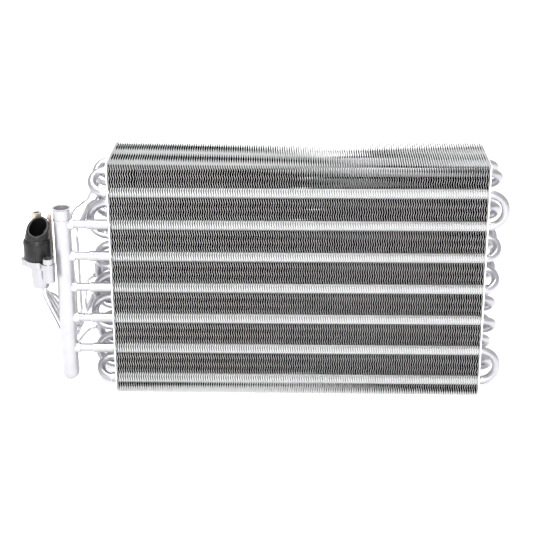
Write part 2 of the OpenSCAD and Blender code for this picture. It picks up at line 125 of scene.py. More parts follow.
def seenDirectly(tree):
    # 1 for what the camera sees, straight or in a mirror or a glass
    path = addNode(tree, "ShaderNodeLightPath").outputs
    mirrored = addMath(tree, "MAXIMUM", path["Is Glossy Ray"], path["Is Transmission Ray"])
    return addMath(tree, "MAXIMUM", path["Is Camera Ray"], mirrored)


def makeWorld():
    world = bpy.data.worlds.new("whiteSurroundings")
    world.use_nodes = True
    tree = world.node_tree
    tree.nodes.clear()
    lit = addNode(tree, "ShaderNodeBackground", {"Color": studio["white"],
                                                 "Strength": studio["skyStrength"]})
    seen = addNode(tree, "ShaderNodeBackground", {"Color": studio["white"], "Strength": 1.0})
    mixed = addNode(tree, "ShaderNodeMixShader",
                    [seenDirectly(tree), lit.outputs[0], seen.outputs[0]])
    addNode(tree, "ShaderNodeOutputWorld", {"Surface": mixed.outputs[0]})
    bpy.context.scene.world = world


def makeFloor():
    half = studio["floorSize"] / 2
    mesh = bpy.data.meshes.new("studioFloor")
    corners = [(-half, -half, 0), (half, -half, 0), (half, half, 0), (-half, half, 0)]
    mesh.from_pydata(corners, [], [(0, 1, 2, 3)])
    material = bpy.data.materials.new("paleFloor")
    material.use_nodes = True
    tree = material.node_tree
    shader = tree.nodes["Principled BSDF"]
    shader.inputs["Base Color"].default_value = studio["floorColour"]
    shader.inputs["Roughness"].default_value = studio["floorRoughness"]
    lift = addMath(tree, "MULTIPLY", seenDirectly(tree), studio["floorLift"])
    glow = addNode(tree, "ShaderNodeEmission", {"Color": studio["white"], "Strength": lift})
    both = addNode(tree, "ShaderNodeAddShader", [shader.outputs[0], glow.outputs[0]])
    tree.links.new(both.outputs[0], tree.nodes["Material Output"].inputs["Surface"])
    mesh.materials.append(material)
    floor = linkObject(bpy.data.objects.new("studioFloor", mesh))
    floor.location.z = cadBox[0][2] - studio["floorGap"]


def makeLamps():
    centre = (Vector(cadBox[0]) + Vector(cadBox[1])) / 2
    for name, lamp in studio["lamps"].items():
        light = bpy.data.lights.new(name, "AREA")
        light.shape = "RECTANGLE"
        light.size, light.size_y = lamp["width"], lamp["length"]
        light.energy = lamp["watts"]
        softbox = linkObject(bpy.data.objects.new(name, light))
        softbox.location = lamp["place"]
        softbox.rotation_euler = (centre - softbox.location).to_track_quat("-Z", "Y").to_euler()


bpy.context.scene.view_settings.view_transform = "Standard"
makeCamera()
makeWorld()
makeFloor()
makeLamps()
print("studio is up: camera, floor, world,", len(studio["lamps"]), "lamps")


# Shader groups that every finish shares
texture = {
    "cloudNoise": {"Detail": 5.0, "Roughness": 0.6},
    "cloudEdge": (0.42, 0.68),      # noise that is still clean, and noise that is fully dulled
    "lineNoise": {"Detail": 3.0, "Roughness": 0.7},
    "reliefDepth": 0.1 * mm,
}


def addSockets(tree, inputs, outputs):
    for way, sockets in (("INPUT", inputs), ("OUTPUT", outputs)):
        for label, kind in sockets:
            tree.interface.new_socket(name=label, in_out=way, socket_type="NodeSocket" + kind)


def makeToneGroup():
    # slow drift between a clean and a dulled tone, as on handled metal or rubber
    group = bpy.data.node_groups.new("dullTone", "ShaderNodeTree")
    addSockets(group, [("Vector", "Vector"), ("Scale", "Float"), ("Clean", "Color"),
                       ("Dulled", "Color"), ("Amount", "Float")], [("Color", "Color")])
    given = addNode(group, "NodeGroupInput").outputs
    cloud = addNode(group, "ShaderNodeTexNoise", {
        "Vector": given["Vector"], "Scale": given["Scale"], **texture["cloudNoise"]})
    patch = addSmoothStep(group, cloud.outputs[0], texture["cloudEdge"])
    mask = addMath(group, "MULTIPLY", patch, given["Amount"])
    colour = addNode(group, "ShaderNodeMixRGB", [mask, given["Clean"], given["Dulled"]])
    addNode(group, "NodeGroupOutput", {"Color": colour.outputs[0]})
    return group


def makeLineGroup():
    # fine lines drawn out along one direction, as a height and as a swing of the roughness
    group = bpy.data.node_groups.new("drawLines", "ShaderNodeTree")
    addSockets(group, [("Vector", "Vector"), ("Stretch", "Vector"), ("Scale", "Float"),
                       ("Plain", "Float"), ("Spread", "Float")],
               [("Height", "Float"), ("Roughness", "Float")])
    given = addNode(group, "NodeGroupInput").outputs
    drawn = addNode(group, "ShaderNodeVectorMath", [given["Vector"], given["Stretch"]],
                    operation="MULTIPLY")
    lines = addNode(group, "ShaderNodeTexNoise", {
        "Vector": drawn.outputs[0], "Scale": given["Scale"], **texture["lineNoise"]})
    centred = addMath(group, "SUBTRACT", lines.outputs[0], 0.5)
    rough = addMath(group, "MULTIPLY_ADD", centred, given["Spread"], given["Plain"])
    addNode(group, "NodeGroupOutput", {"Height": lines.outputs[0], "Roughness": rough})
    return group


toneGroup = makeToneGroup()
lineGroup = makeLineGroup()

# Every finish: clean and dulled colour, how far and in how fine patches it dulls, metallic,
# roughness and its swing, the draw lines' direction and fineness, the relief's strength, and
# a gleam other than the plain one
plainGleam = 0.5
finishes = {
    "finFoil": {"clean": (0.95, 0.95, 0.955), "dulled": (0.86, 0.86, 0.87), "share": 0.5,
                "cloud": 35.0, "metal": 0.0, "rough": 0.5, "swing": 0.16,
                "stretch": (1.0, 0.12, 1.0), "grain": 900.0, "relief": 0.05, "gleam": 0.0},
    # collarFoil is the fin foil made a little brighter: painted light on the collars round the
    # tubes
    "collarFoil": {"clean": (0.98, 0.98, 0.985), "dulled": (0.92, 0.92, 0.93), "share": 0.5,
                   "cloud": 120.0, "metal": 0.0, "rough": 0.45, "swing": 0.16,
                   "stretch": (1.0, 1.0, 1.0), "grain": 900.0, "relief": 0.05, "gleam": 0.0},
    "rolledPlate": {"clean": (0.9, 0.9, 0.915), "dulled": (0.78, 0.78, 0.79), "share": 0.5,
                    "cloud": 40.0, "metal": 1.0, "rough": 0.34, "swing": 0.2,
                    "stretch": (1.0, 1.0, 0.08), "grain": 800.0, "relief": 0.05},
    "drawnTube": {"clean": (0.42, 0.415, 0.44), "dulled": (0.34, 0.335, 0.355), "share": 0.6,
                  "cloud": 70.0, "metal": 1.0, "rough": 0.33, "swing": 0.22,
                  "stretch": (0.15, 1.0, 1.0), "grain": 700.0, "relief": 0.06},
    "headerTube": {"clean": (0.5, 0.495, 0.52), "dulled": (0.44, 0.435, 0.455), "share": 0.5,
                   "cloud": 55.0, "metal": 0.5, "rough": 0.33, "swing": 0.2,
                   "stretch": (1.0, 1.0, 0.1), "grain": 700.0, "relief": 0.05},
    "machinedFitting": {"clean": (0.4, 0.395, 0.415), "dulled": (0.34, 0.335, 0.35), "share": 0.4,
                        "cloud": 90.0, "metal": 1.0, "rough": 0.3, "swing": 0.16,
                        "stretch": (0.2, 0.2, 1.0), "grain": 1400.0, "relief": 0.06},
    "softCapillary": {"clean": (0.62, 0.615, 0.63), "dulled": (0.48, 0.475, 0.49), "share": 0.6,
                      "cloud": 110.0, "metal": 1.0, "rough": 0.36, "swing": 0.2,
                      "stretch": (1.0, 1.0, 0.2), "grain": 900.0, "relief": 0.05},
    "brazeMetal": {"clean": (0.8, 0.8, 0.815), "dulled": (0.52, 0.52, 0.53), "share": 0.9,
                   "cloud": 300.0, "metal": 1.0, "rough": 0.48, "swing": 0.3,
                   "stretch": (1.0, 1.0, 1.0), "grain": 1200.0, "relief": 0.3},
    "tanMetal": {"clean": (0.6, 0.54, 0.48), "dulled": (0.3, 0.2, 0.14), "share": 0.75,
                 "cloud": 130.0, "metal": 0.75, "rough": 0.42, "swing": 0.2,
                 "stretch": (1.0, 1.0, 0.3), "grain": 900.0, "relief": 0.1},
    "ringRubber": {"clean": (0.03, 0.03, 0.03), "dulled": (0.06, 0.06, 0.06), "share": 0.5,
                   "cloud": 200.0, "metal": 0.0, "rough": 0.5, "swing": 0.1,
                   "stretch": (1.0, 1.0, 1.0), "grain": 1500.0, "relief": 0.1},
    "bootRubber": {"clean": (0.005, 0.005, 0.0055), "dulled": (0.026, 0.026, 0.028), "share": 0.8,
                   "cloud": 95.0, "metal": 0.0, "rough": 0.42, "swing": 0.3,
                   "stretch": (1.0, 1.0, 0.35), "grain": 650.0, "relief": 0.25, "gleam": 0.28},
    # the boot's inner wall, the same rubber made darker and duller: painted shade in its mouth
    "bootLiningShade": {"clean": (0.003, 0.003, 0.003), "dulled": (0.006, 0.006, 0.006), "share": 0.8,
                   "cloud": 95.0, "metal": 0.0, "rough": 0.8, "swing": 0.2,
                   "stretch": (1.0, 1.0, 1.0), "grain": 650.0, "relief": 0.2, "gleam": 0.05},
}


def makeFinish(name, finish):
    material = bpy.data.materials.new(name)
    material.use_nodes = True
    tree = material.node_tree
    shader = tree.nodes["Principled BSDF"]
    place = addNode(tree, "ShaderNodeTexCoord").outputs["Object"]
    tone = addNode(tree, "ShaderNodeGroup", {
        "Vector": place, "Scale": finish["cloud"], "Clean": (*finish["clean"], 1.0),
        "Dulled": (*finish["dulled"], 1.0), "Amount": finish["share"]}, node_tree=toneGroup)
    lines = addNode(tree, "ShaderNodeGroup", {
        "Vector": place, "Stretch": finish["stretch"], "Scale": finish["grain"],
        "Plain": finish["rough"], "Spread": finish["swing"]}, node_tree=lineGroup)
    relief = addNode(tree, "ShaderNodeBump", {
        "Strength": finish["relief"], "Distance": texture["reliefDepth"],
        "Height": lines.outputs["Height"]})
    tree.links.new(tone.outputs["Color"], shader.inputs["Base Color"])
    tree.links.new(lines.outputs["Roughness"], shader.inputs["Roughness"])
    tree.links.new(relief.outputs[0], shader.inputs["Normal"])
    shader.inputs["Metallic"].default_value = finish["metal"]
    shader.inputs["Specular IOR Level"].default_value = finish.get("gleam", plainGleam)
    return material


materials = {name: makeFinish(name, finish) for name, finish in finishes.items()}
print("finishes are mixed:", len(materials))


def addPiece(name, mesh, finish, replaced=()):
    # the fins and the boot have two materials each, and bring them along
    if finish:
        mesh.materials.clear()
        mesh.materials.append(materials[finish])
    piece = linkObject(bpy.data.objects.new(name, mesh))
    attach(piece, "root")
    if replaced:
        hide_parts(*replaced)
    return piece


# Geometry Nodes: a tree with named inputs, run on a mesh and turned back into a plain mesh
def newGeometryTree(name, inputs):
    tree = bpy.data.node_groups.new(name, "GeometryNodeTree")
    addSockets(tree, [("Geometry", "Geometry"), *inputs], [("Geometry", "Geometry")])
    return tree


def runGeometryTree(tree, mesh, values):
    maker = linkObject(bpy.data.objects.new(mesh.name, mesh))
    modifier = maker.modifiers.new(tree.name, "NODES")
    modifier.node_group = tree
    for item in tree.interface.items_tree:
        if item.in_out == "INPUT" and item.name in values:
            modifier[item.identifier] = values[item.name]
    graph = bpy.context.evaluated_depsgraph_get()
    made = bpy.data.meshes.new_from_object(maker.evaluated_get(graph))
    bpy.data.objects.remove(maker)
    return made


# Tube pattern: rows counted from the front, tubes in a row from the top, and the places left out
pattern = {
    "rows": 5,
    "rowTubes": 7,
    "tubePitch": 31.75 * mm,
    "rowPitch": 15.875 * mm,
    "topMargin": 29.8 * mm,
    "tubeRadius": 3.97 * mm,
    "leftOut": [(5, 7)],
}
finLow, finHigh = Vector(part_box("fin_pack_left")[0]), Vector(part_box("fin_pack_right")[1])


def tubePlace(row, number):
    lift = pattern["tubePitch"] / 2 if row % 2 == 0 else 0.0
    y = (row - (pattern["rows"] + 1) / 2) * pattern["rowPitch"]
    z = finHigh.z - pattern["topMargin"] - (number - 1) * pattern["tubePitch"] + lift
    return y, z


tubePlaces = [tubePlace(row, number)
              for row in range(1, pattern["rows"] + 1)
              for number in range(1, pattern["rowTubes"] + 1)
              if (row, number) not in pattern["leftOut"]]

# Deep between the fins hardly any light comes back, so foil and collars darken inwards from the
# block's faces. A pair of depths holds one that is still bright and one that is dark.
foilShade = {
    "foil": {"side": (0.15 * mm, 1.6 * mm), "top": (0.6 * mm, 2.0 * mm)},
    # painted light: the collars stay bright much deeper in than the foil
    "collar": {"side": (8.0 * mm, 22.0 * mm), "top": (20.0 * mm, 40.0 * mm)},
    # painted light: the foil stays bright out to these distances from an outer tube's axis
    "ring": (4.5 * mm, 5.4 * mm),      # distances from the axis of an outer tube
    "deep": (0.006, 0.006, 0.007, 1.0),
    # painted light along the top, in bands over the tubes just below it: middle behind the front,
    # half width
    "bands": ((17.5 * mm, 8.5 * mm), (51.0 * mm, 9.5 * mm)),
    "bandEdge": 2.0 * mm,
    "bandFade": (6.0 * mm, 10.0 * mm),
    # near the top of the front face the foil darkens by lipShade at most: depths below the top
    # and behind the front over which that ends
    "lip": (7.5 * mm, 9.5 * mm),
    "lipBehind": (3.0 * mm, 5.0 * mm),
    "lipShade": 0.62,
}


def shadeInwards(material, depths, isFoil):
    tree = material.node_tree
    shader = tree.nodes["Principled BSDF"]
    tone = shader.inputs["Base Color"].links[0].from_socket
    place = addNode(tree, "ShaderNodeTexCoord").outputs["Object"]
    parts = addNode(tree, "ShaderNodeSeparateXYZ", [place]).outputs
    behind = addMath(tree, "SUBTRACT", finHigh.y, addMath(tree, "ABSOLUTE", parts["Y"]))
    below = addMath(tree, "SUBTRACT", finHigh.z, parts["Z"])
    dark = addMath(tree, "MINIMUM", addSmoothStep(tree, behind, depths["side"]),
                   addSmoothStep(tree, below, depths["top"]))
    if isFoil:
        fromRow = addMath(tree, "SUBTRACT", behind, pattern["rowPitch"] / 2)
        fromTube = addMath(tree, "WRAP", addMath(tree, "SUBTRACT", parts["Z"], tubePlaces[0][1]),
                           pattern["tubePitch"] / 2, -pattern["tubePitch"] / 2)
        away = addNode(tree, "ShaderNodeCombineXYZ", [fromRow, fromTube, 0.0]).outputs[0]
        reach = addNode(tree, "ShaderNodeVectorMath", [away], operation="LENGTH").outputs["Value"]
        dark = addMath(tree, "MINIMUM", dark, addSmoothStep(tree, reach, foilShade["ring"]))
        fromFront = addMath(tree, "SUBTRACT", parts["Y"], finLow.y)
        sunk = addSmoothStep(tree, below, foilShade["bandFade"])
        for middle, half in foilShade["bands"]:
            apart = addMath(tree, "ABSOLUTE", addMath(tree, "SUBTRACT", fromFront, middle))
            outside = addSmoothStep(tree, apart, (half - foilShade["bandEdge"], half))
            dark = addMath(tree, "MINIMUM", dark, addMath(tree, "MAXIMUM", outside, sunk))
        lip = addMath(tree, "MAXIMUM", addSmoothStep(tree, below, foilShade["lip"]),
                      addSmoothStep(tree, fromFront, foilShade["lipBehind"]))
        grey = addMath(tree, "MAXIMUM", lip, foilShade["lipShade"])
        dark = addMath(tree, "MINIMUM", dark, grey)
    shaded = addNode(tree, "ShaderNodeMixRGB", [dark, tone, foilShade["deep"]])
    tree.links.new(shaded.outputs[0], shader.inputs["Base Color"])


shadeInwards(materials["finFoil"], foilShade["foil"], True)
shadeInwards(materials["collarFoil"], foilShade["collar"], False)

# Fins: a rippled foil with a drawn collar round every tube, repeated along X
fins = {
    "count": 157,
    "banks": 4,                        # pieces that the fins are shared out to
    "thickness": 0.18 * mm,
    "bow": 1.3 * mm,                   # how far the foil's middle stands to the right of its edges
    "ripple": 0.5 * mm,                # swing to each side
    "ripplesPerTube": 4,
    "shortestCrease": 0.05 * mm,
    "flatRing": 1.0 * mm,              # flat foil round a collar
    "planTolerance": 1e-4,             # for merging points of the flat plan, in millimetres
    "sharpAngle": math.radians(40),
    "collarSides": 8,
    "collarGap": 0.03 * mm,
    "collarWall": 0.14 * mm,
    "collarEnd": 0.06 * mm,            # gap to the next fin
    "holeSlack": 0.02 * mm,            # for telling a collar's corners from other points
    "wobble": 0.22 * mm,               # handling has moved the edges this far at most
    "wobbleDepth": 6.0 * mm,
    "wobbleStretch": (160.0, 20.0, 45.0),      # how fast it changes along X, Y and Z
    "wobbleDetail": 2.0,
    "dentPlace": (-150.0 * mm, 222.0 * mm),
    "dentSpread": (4.0 * mm, 10.0 * mm),
    "dentFade": 0.4,                   # share of the depth that is left at that distance
    "dentDepth": 0.9 * mm,
    "seed": 11.0,
}
finPitch = (finHigh.x - finLow.x - fins["thickness"]) / (fins["count"] - 1)
collarInner = (pattern["tubeRadius"] + fins["collarGap"]) / math.cos(math.pi / fins["collarSides"])
collarOuter = collarInner + fins["collarWall"]


def rippleShift(z):
    # furthest right at the height of every tube, furthest left midway between two ripples
    length = pattern["tubePitch"] / fins["ripplesPerTube"]
    phase = ((z - tubePlaces[0][1]) / length) % 1.0
    return fins["ripple"] * (4 * abs(phase - 0.5) - 1)


def creaseHeights():
    step = pattern["tubePitch"] / fins["ripplesPerTube"] / 2
    first = math.ceil((finLow.z + step / 2 - tubePlaces[0][1]) / step)
    last = math.floor((finHigh.z - step / 2 - tubePlaces[0][1]) / step)
    return [tubePlaces[0][1] + i * step for i in range(first, last + 1)]


def creaseStretches(z):
    # the parts of a crease that keep clear of the flat rings round the collars
    reach = collarOuter + fins["flatRing"]
    cuts = []
    for y, tubeZ in tubePlaces:
        if abs(z - tubeZ) < reach:
            half = math.sqrt(reach ** 2 - (z - tubeZ) ** 2)
            cuts.append((y - half, y + half))
    start, stretches = finLow.y, []
    for low, high in sorted(cuts):
        if low - start > fins["shortestCrease"]:
            stretches.append((start, low))
        start = max(start, high)
    if finHigh.y - start > fins["shortestCrease"]:
        stretches.append((start, finHigh.y))
    return stretches


def finPlan():
    # flat triangles of one fin in Y and Z, in millimetres, with the collars' holes left out
    points, edges = [], []

    def addLoop(loop):
        base = len(points)
        points.extend(loop)
        edges.extend((base + i, base + (i + 1) % len(loop)) for i in range(len(loop)))

    heights = creaseHeights()
    left = [Vector((finLow.y, z)) for z in [finLow.z] + heights + [finHigh.z]]
    right = [Vector((finHigh.y, z)) for z in [finLow.z] + heights + [finHigh.z]]
    addLoop([p / mm for p in left + right[::-1]])
    sides = fins["collarSides"]
    for y, z in tubePlaces:
        turns = [2 * math.pi * i / sides for i in range(sides)]
        addLoop([Vector((y + collarOuter * math.cos(a), z + collarOuter * math.sin(a))) / mm
                 for a in turns])
    for z in heights:
        for low, high in creaseStretches(z):
            edges.append((len(points), len(points) + 1))
            points.extend([Vector((low, z)) / mm, Vector((high, z)) / mm])
    found = delaunay_2d_cdt(points, edges, [], 0, fins["planTolerance"])
    apothem = collarOuter * math.cos(math.pi / sides) / mm
    places = [Vector(place) / mm for place in tubePlaces]

    def inHole(corners):
        middle = sum(corners, Vector((0.0, 0.0))) / len(corners)
        for place in places:
            away = middle - place
            if away.length < collarOuter / mm:
                turn = math.atan2(away.y, away.x) % (2 * math.pi / sides) - math.pi / sides
                if away.length * math.cos(turn) < apothem:
                    return True
        return False

    faces = [face for face in found[2] if not inHole([found[0][i] for i in face])]
    return found[0], faces


def makeFinMesh():
    flat, faces = finPlan()
    flat = [point * mm for point in flat]
    hole = {}                          # the collars' corners, each with the place of its tube
    for i, point in enumerate(flat):
        for place in tubePlaces:
            if abs((point - Vector(place)).length - collarOuter) < fins["holeSlack"]:
                hole[i] = Vector(place)

    def pulledIn(i):
        return hole[i] + (flat[i] - hole[i]) * (collarInner / collarOuter)

    count = len(flat)
    near, far, end, lining = [], [], {}, {}
    for i, point in enumerate(flat):
        shift = fins["ripple"] if i in hole else rippleShift(point.y)
        shift += fins["bow"] * (1 - (point.x / finHigh.y) ** 2)
        pulled = pulledIn(i) if i in hole else point
        near.append((shift, pulled.x, pulled.y))
        far.append((shift + fins["thickness"], point.x, point.y))
    verts = near + far
    for i in hole:
        pulled = pulledIn(i)
        x = near[i][0] + finPitch - fins["collarEnd"]
        end[i] = len(verts)
        verts.append((x, flat[i].x, flat[i].y))
        lining[i] = len(verts)
        verts.append((x, pulled.x, pulled.y))
    made, collarFaces = [], []
    used = {}
    for face in faces:
        made.append([i + count for i in face])
        made.append(list(face)[::-1])
        for a, b in zip(face, face[1:] + face[:1]):
            used[(a, b)] = True
    for a, b in used:
        if (b, a) in used:
            continue
        if a in hole and b in hole:
            collarFaces.append(len(made))
            made.append([b + count, a + count, end[a], end[b]])
            made.append([end[b], end[a], lining[a], lining[b]])
            made.append([lining[b], lining[a], a, b])
        else:
            made.append([b + count, a + count, a, b])
    mesh = bpy.data.meshes.new("rippledFin")
    mesh.from_pydata(verts, [], made)
    form = bmesh.new()
    form.from_mesh(mesh)
    loose = [v for v in form.verts if not v.link_faces]
    bmesh.ops.delete(form, geom=loose, context="VERTS")
    bmesh.ops.recalc_face_normals(form, faces=form.faces)
    for face in form.faces:
        face.smooth = True
    form.to_mesh(mesh)
    form.free()
    mesh.set_sharp_from_angle(angle=fins["sharpAngle"])
    isCollar = mesh.attributes.new("isCollar", "BOOLEAN", "FACE")
    for i in collarFaces:
        isCollar.data[i].value = True
    return mesh


def makeFinTree():
    tree = newGeometryTree("finBank", [
        ("Count", "Int"), ("First", "Float"), ("Pitch", "Float"), ("Wobble", "Float"),
        ("Depth", "Float"), ("Face", "Float"), ("Dent", "Float"), ("Dent X", "Float"),
        ("Dent Z", "Float"), ("Seed", "Float"), ("Stop", "Float"), ("Foil", "Material"),
        ("Collar", "Material")])
    given = addNode(tree, "NodeGroupInput").outputs
    start = addNode(tree, "ShaderNodeCombineXYZ", [given["First"], 0.0, 0.0])
    step = addNode(tree, "ShaderNodeCombineXYZ", [given["Pitch"], 0.0, 0.0])
    line = addNode(tree, "GeometryNodeMeshLine", {
        "Count": given["Count"], "Start Location": start.outputs[0], "Offset": step.outputs[0]})
    row = addNode(tree, "GeometryNodeInstanceOnPoints", {
        "Points": line.outputs[0], "Instance": given["Geometry"]})
    real = addNode(tree, "GeometryNodeRealizeInstances", {"Geometry": row.outputs[0]})
    place = addNode(tree, "GeometryNodeInputPosition").outputs[0]
    parts = addNode(tree, "ShaderNodeSeparateXYZ", [place]).outputs
    # how near a point is to the front or the back edge, from 0 inside to 1 at the edge
    behind = addMath(tree, "SUBTRACT", given["Face"], addMath(tree, "ABSOLUTE", parts["Y"]))
    edge = addNode(tree, "ShaderNodeMapRange", [behind, given["Depth"], 0.0, 0.0, 1.0]).outputs[0]
    stretched = addNode(tree, "ShaderNodeVectorMath", [place, fins["wobbleStretch"]],
                        operation="MULTIPLY")
    noise = addNode(tree, "ShaderNodeTexNoise", {
        "Vector": stretched.outputs[0], "W": given["Seed"], "Scale": 1.0,
        "Detail": fins["wobbleDetail"]}, noise_dimensions="4D")
    swing = addMath(tree, "SUBTRACT", noise.outputs[0], 0.5)
    wobble = addMath(tree, "MULTIPLY", swing, given["Wobble"])
    # a knock near the upper left corner of the front face
    besideX = addMath(tree, "DIVIDE", addMath(tree, "SUBTRACT", parts["X"], given["Dent X"]),
                      fins["dentSpread"][0])
    besideZ = addMath(tree, "DIVIDE", addMath(tree, "SUBTRACT", parts["Z"], given["Dent Z"]),
                      fins["dentSpread"][1])
    away = addMath(tree, "ADD", addMath(tree, "MULTIPLY", besideX, besideX),
                   addMath(tree, "MULTIPLY", besideZ, besideZ))
    fade = addMath(tree, "POWER", fins["dentFade"], away)
    front = addMath(tree, "LESS_THAN", parts["Y"], 0.0)
    dent = addMath(tree, "MULTIPLY", addMath(tree, "MULTIPLY", fade, front), given["Dent"])
    shift = addMath(tree, "MULTIPLY", addMath(tree, "ADD", wobble, dent), edge)
    # the last fin's collars end at the end plate
    reached = addMath(tree, "MINIMUM", addMath(tree, "ADD", parts["X"], shift), given["Stop"])
    target = addNode(tree, "ShaderNodeCombineXYZ", [reached, parts["Y"], parts["Z"]])
    moved = addNode(tree, "GeometryNodeSetPosition", {
        "Geometry": real.outputs[0], "Position": target.outputs[0]})
    foil = addNode(tree, "GeometryNodeSetMaterial", {
        "Geometry": moved.outputs[0], "Material": given["Foil"]})
    isCollar = addNode(tree, "GeometryNodeInputNamedAttribute", ["isCollar"], data_type="BOOLEAN")
    dressed = addNode(tree, "GeometryNodeSetMaterial", {
        "Geometry": foil.outputs[0], "Selection": isCollar.outputs["Attribute"],
        "Material": given["Collar"]})
    addNode(tree, "NodeGroupOutput", [dressed.outputs[0]])
    return tree


def makeFins():
    oneFin = makeFinMesh()
    tree = makeFinTree()
    perBank = math.ceil(fins["count"] / fins["banks"])
    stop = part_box("end_plate_right")[0][0]
    for bank in range(fins["banks"]):
        first = bank * perBank
        count = min(perBank, fins["count"] - first)
        mesh = runGeometryTree(tree, oneFin.copy(), {
            "Count": count, "First": finLow.x + first * finPitch, "Pitch": finPitch,
            "Wobble": 2 * fins["wobble"], "Depth": fins["wobbleDepth"], "Face": finHigh.y,
            "Dent": fins["dentDepth"], "Dent X": fins["dentPlace"][0],
            "Dent Z": fins["dentPlace"][1], "Seed": fins["seed"], "Stop": stop,
            "Foil": materials["finFoil"], "Collar": materials["collarFoil"]})
        mesh.name = f"fin_bank_{bank + 1}"
        addPiece(mesh.name, mesh, None, ["fin_pack_left", "fin_pack_right"])
    print("fins:", fins["count"], "of", len(oneFin.polygons), "faces each")


makeFins()

# CAD nodes whose form is right: smooth copies that keep their sharp edges
dressing = {
    "rolledPlate": {"slot": "plate", "names": ["end_plate"]},
    "drawnTube": {"slot": "tube",
                  "names": ["hairpin", "return_bend", "header_stub", "inlet_elbow"]},
    "headerTube": {"slot": "tube", "names": ["suction_header"]},
    "softCapillary": {"slot": "tube", "names": ["capillary"]},
    "machinedFitting": {"slot": "fitting", "names": ["distributor", "clamp_flange"]},
    "tanMetal": {"slot": "tan_metal", "names": ["inlet_pipe", "retaining_clip"]},
    "ringRubber": {"slot": "seal", "names": ["seal_ring"]},
}
screwDress = {"finish": "machinedFitting", "slot": "fitting"}
smoothing = {
    "sharpAngle": math.radians(34),
    "weld": 0.001 * mm,
    "shortestEdge": 0.0005 * mm,
}


def smoothCopy(node, name):
    mesh = node.data.copy()
    mesh.name = name
    form = bmesh.new()
    form.from_mesh(mesh)
    bmesh.ops.remove_doubles(form, verts=form.verts, dist=smoothing["weld"])
    bmesh.ops.dissolve_degenerate(form, edges=form.edges, dist=smoothing["shortestEdge"])
    for face in form.faces:
        face.smooth = True
    form.to_mesh(mesh)
    form.free()
    if "custom_normal" in mesh.attributes:
        mesh.attributes.remove(mesh.attributes["custom_normal"])
    mesh.set_sharp_from_angle(angle=smoothing["sharpAngle"])
    return mesh


def dressNode(nodeName, finish):
    mesh = smoothCopy(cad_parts[nodeName], nodeName + "_finished")
    return addPiece(nodeName + "_finished", mesh, finish, [nodeName])


def dressAll():
    count = 0
    for finish, dress in dressing.items():
        for nodeName in sorted(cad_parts):
            if any(nodeName.startswith(start) for start in dress["names"]):
                dressNode(nodeName, finish)
                count += 1
    dressNode("flange_screw", screwDress["finish"])
    print("dressed CAD forms:", count + 1)


dressAll()

# Brazed joints: an uneven bead of filler round every tube end that enters a socket or a collar
beads = {
    "socketLength": 4.2 * mm,
    "outletSocketLength": 20.5 * mm,
    "outlets": [(1, 2), (1, 3), (1, 4), (1, 5), (1, 6)],       # tubes that lead to the header
    "ringRadius": 4.3 * mm,
    "beadRadius": 0.5 * mm,
    "ringSteps": 28,
    "beadSteps": 8,
    "unevenness": 0.35 * mm,
    "lumps": {"Scale": 260.0, "Detail": 2.0},
    "mostSpin": 6.28,                  # each bead is turned about its tube by up to this angle
    "seed": 5,
}


def jointPlaces():
    # every socket mouth at the left end, then every collar of the header
    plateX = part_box("end_plate_left")[0][0]
    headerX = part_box("suction_header")[1][0]
    outlets = [tubePlace(*at) for at in beads["outlets"]]
    mouths = []
    for place in tubePlaces:
        length = beads["outletSocketLength"] if place in outlets else beads["socketLength"]
        mouths.append((plateX - length, *place))
    return mouths + [(headerX, *place) for place in outlets]


def makeBeadTree():
    tree = newGeometryTree("brazeBeads", [
        ("Ring Radius", "Float"), ("Bead Radius", "Float"), ("Ring Steps", "Int"),
        ("Bead Steps", "Int"), ("Unevenness", "Float"), ("Seed", "Int")])
    given = addNode(tree, "NodeGroupInput").outputs
    ring = addNode(tree, "GeometryNodeCurvePrimitiveCircle", {
        "Resolution": given["Ring Steps"], "Radius": given["Ring Radius"]})
    section = addNode(tree, "GeometryNodeCurvePrimitiveCircle", {
        "Resolution": given["Bead Steps"], "Radius": given["Bead Radius"]})
    bead = addNode(tree, "GeometryNodeCurveToMesh", {
        "Curve": ring.outputs[0], "Profile Curve": section.outputs[0]})
    turn = addNode(tree, "FunctionNodeRandomValue", {
        "Min": 0.0, "Max": beads["mostSpin"], "Seed": given["Seed"]}, data_type="FLOAT")
    turned = addNode(tree, "ShaderNodeCombineXYZ", [0.0, math.pi / 2, 0.0])
    spin = addNode(tree, "ShaderNodeCombineXYZ", [0.0, 0.0, turn.outputs["Value"]])
    rings = addNode(tree, "GeometryNodeInstanceOnPoints", {
        "Points": given["Geometry"], "Instance": bead.outputs[0], "Rotation": turned.outputs[0]})
    spun = addNode(tree, "GeometryNodeRotateInstances", {
        "Instances": rings.outputs[0], "Rotation": spin.outputs[0]})
    real = addNode(tree, "GeometryNodeRealizeInstances", {"Geometry": spun.outputs[0]})
    noise = addNode(tree, "ShaderNodeTexNoise", beads["lumps"])
    centred = addNode(tree, "ShaderNodeVectorMath", [noise.outputs["Color"], (0.5, 0.5, 0.5)],
                      operation="SUBTRACT")
    push = addNode(tree, "ShaderNodeVectorMath", {
        0: centred.outputs[0], "Scale": given["Unevenness"]}, operation="SCALE")
    moved = addNode(tree, "GeometryNodeSetPosition", {
        "Geometry": real.outputs[0], "Offset": push.outputs[0]})
    smooth = addNode(tree, "GeometryNodeSetShadeSmooth", {"Geometry": moved.outputs[0]})
    addNode(tree, "NodeGroupOutput", [smooth.outputs[0]])
    return tree


def makeBeads():
    joints = jointPlaces()
    places = bpy.data.meshes.new("braze_beads")
    places.from_pydata(joints, [], [])
    mesh = runGeometryTree(makeBeadTree(), places, {
        "Ring Radius": beads["ringRadius"], "Bead Radius": beads["beadRadius"],
        "Ring Steps": beads["ringSteps"], "Bead Steps": beads["beadSteps"],
        "Unevenness": beads["unevenness"], "Seed": beads["seed"]})
    addPiece("braze_beads", mesh, "brazeMetal")
    print("brazed joints:", len(joints))


makeBeads()

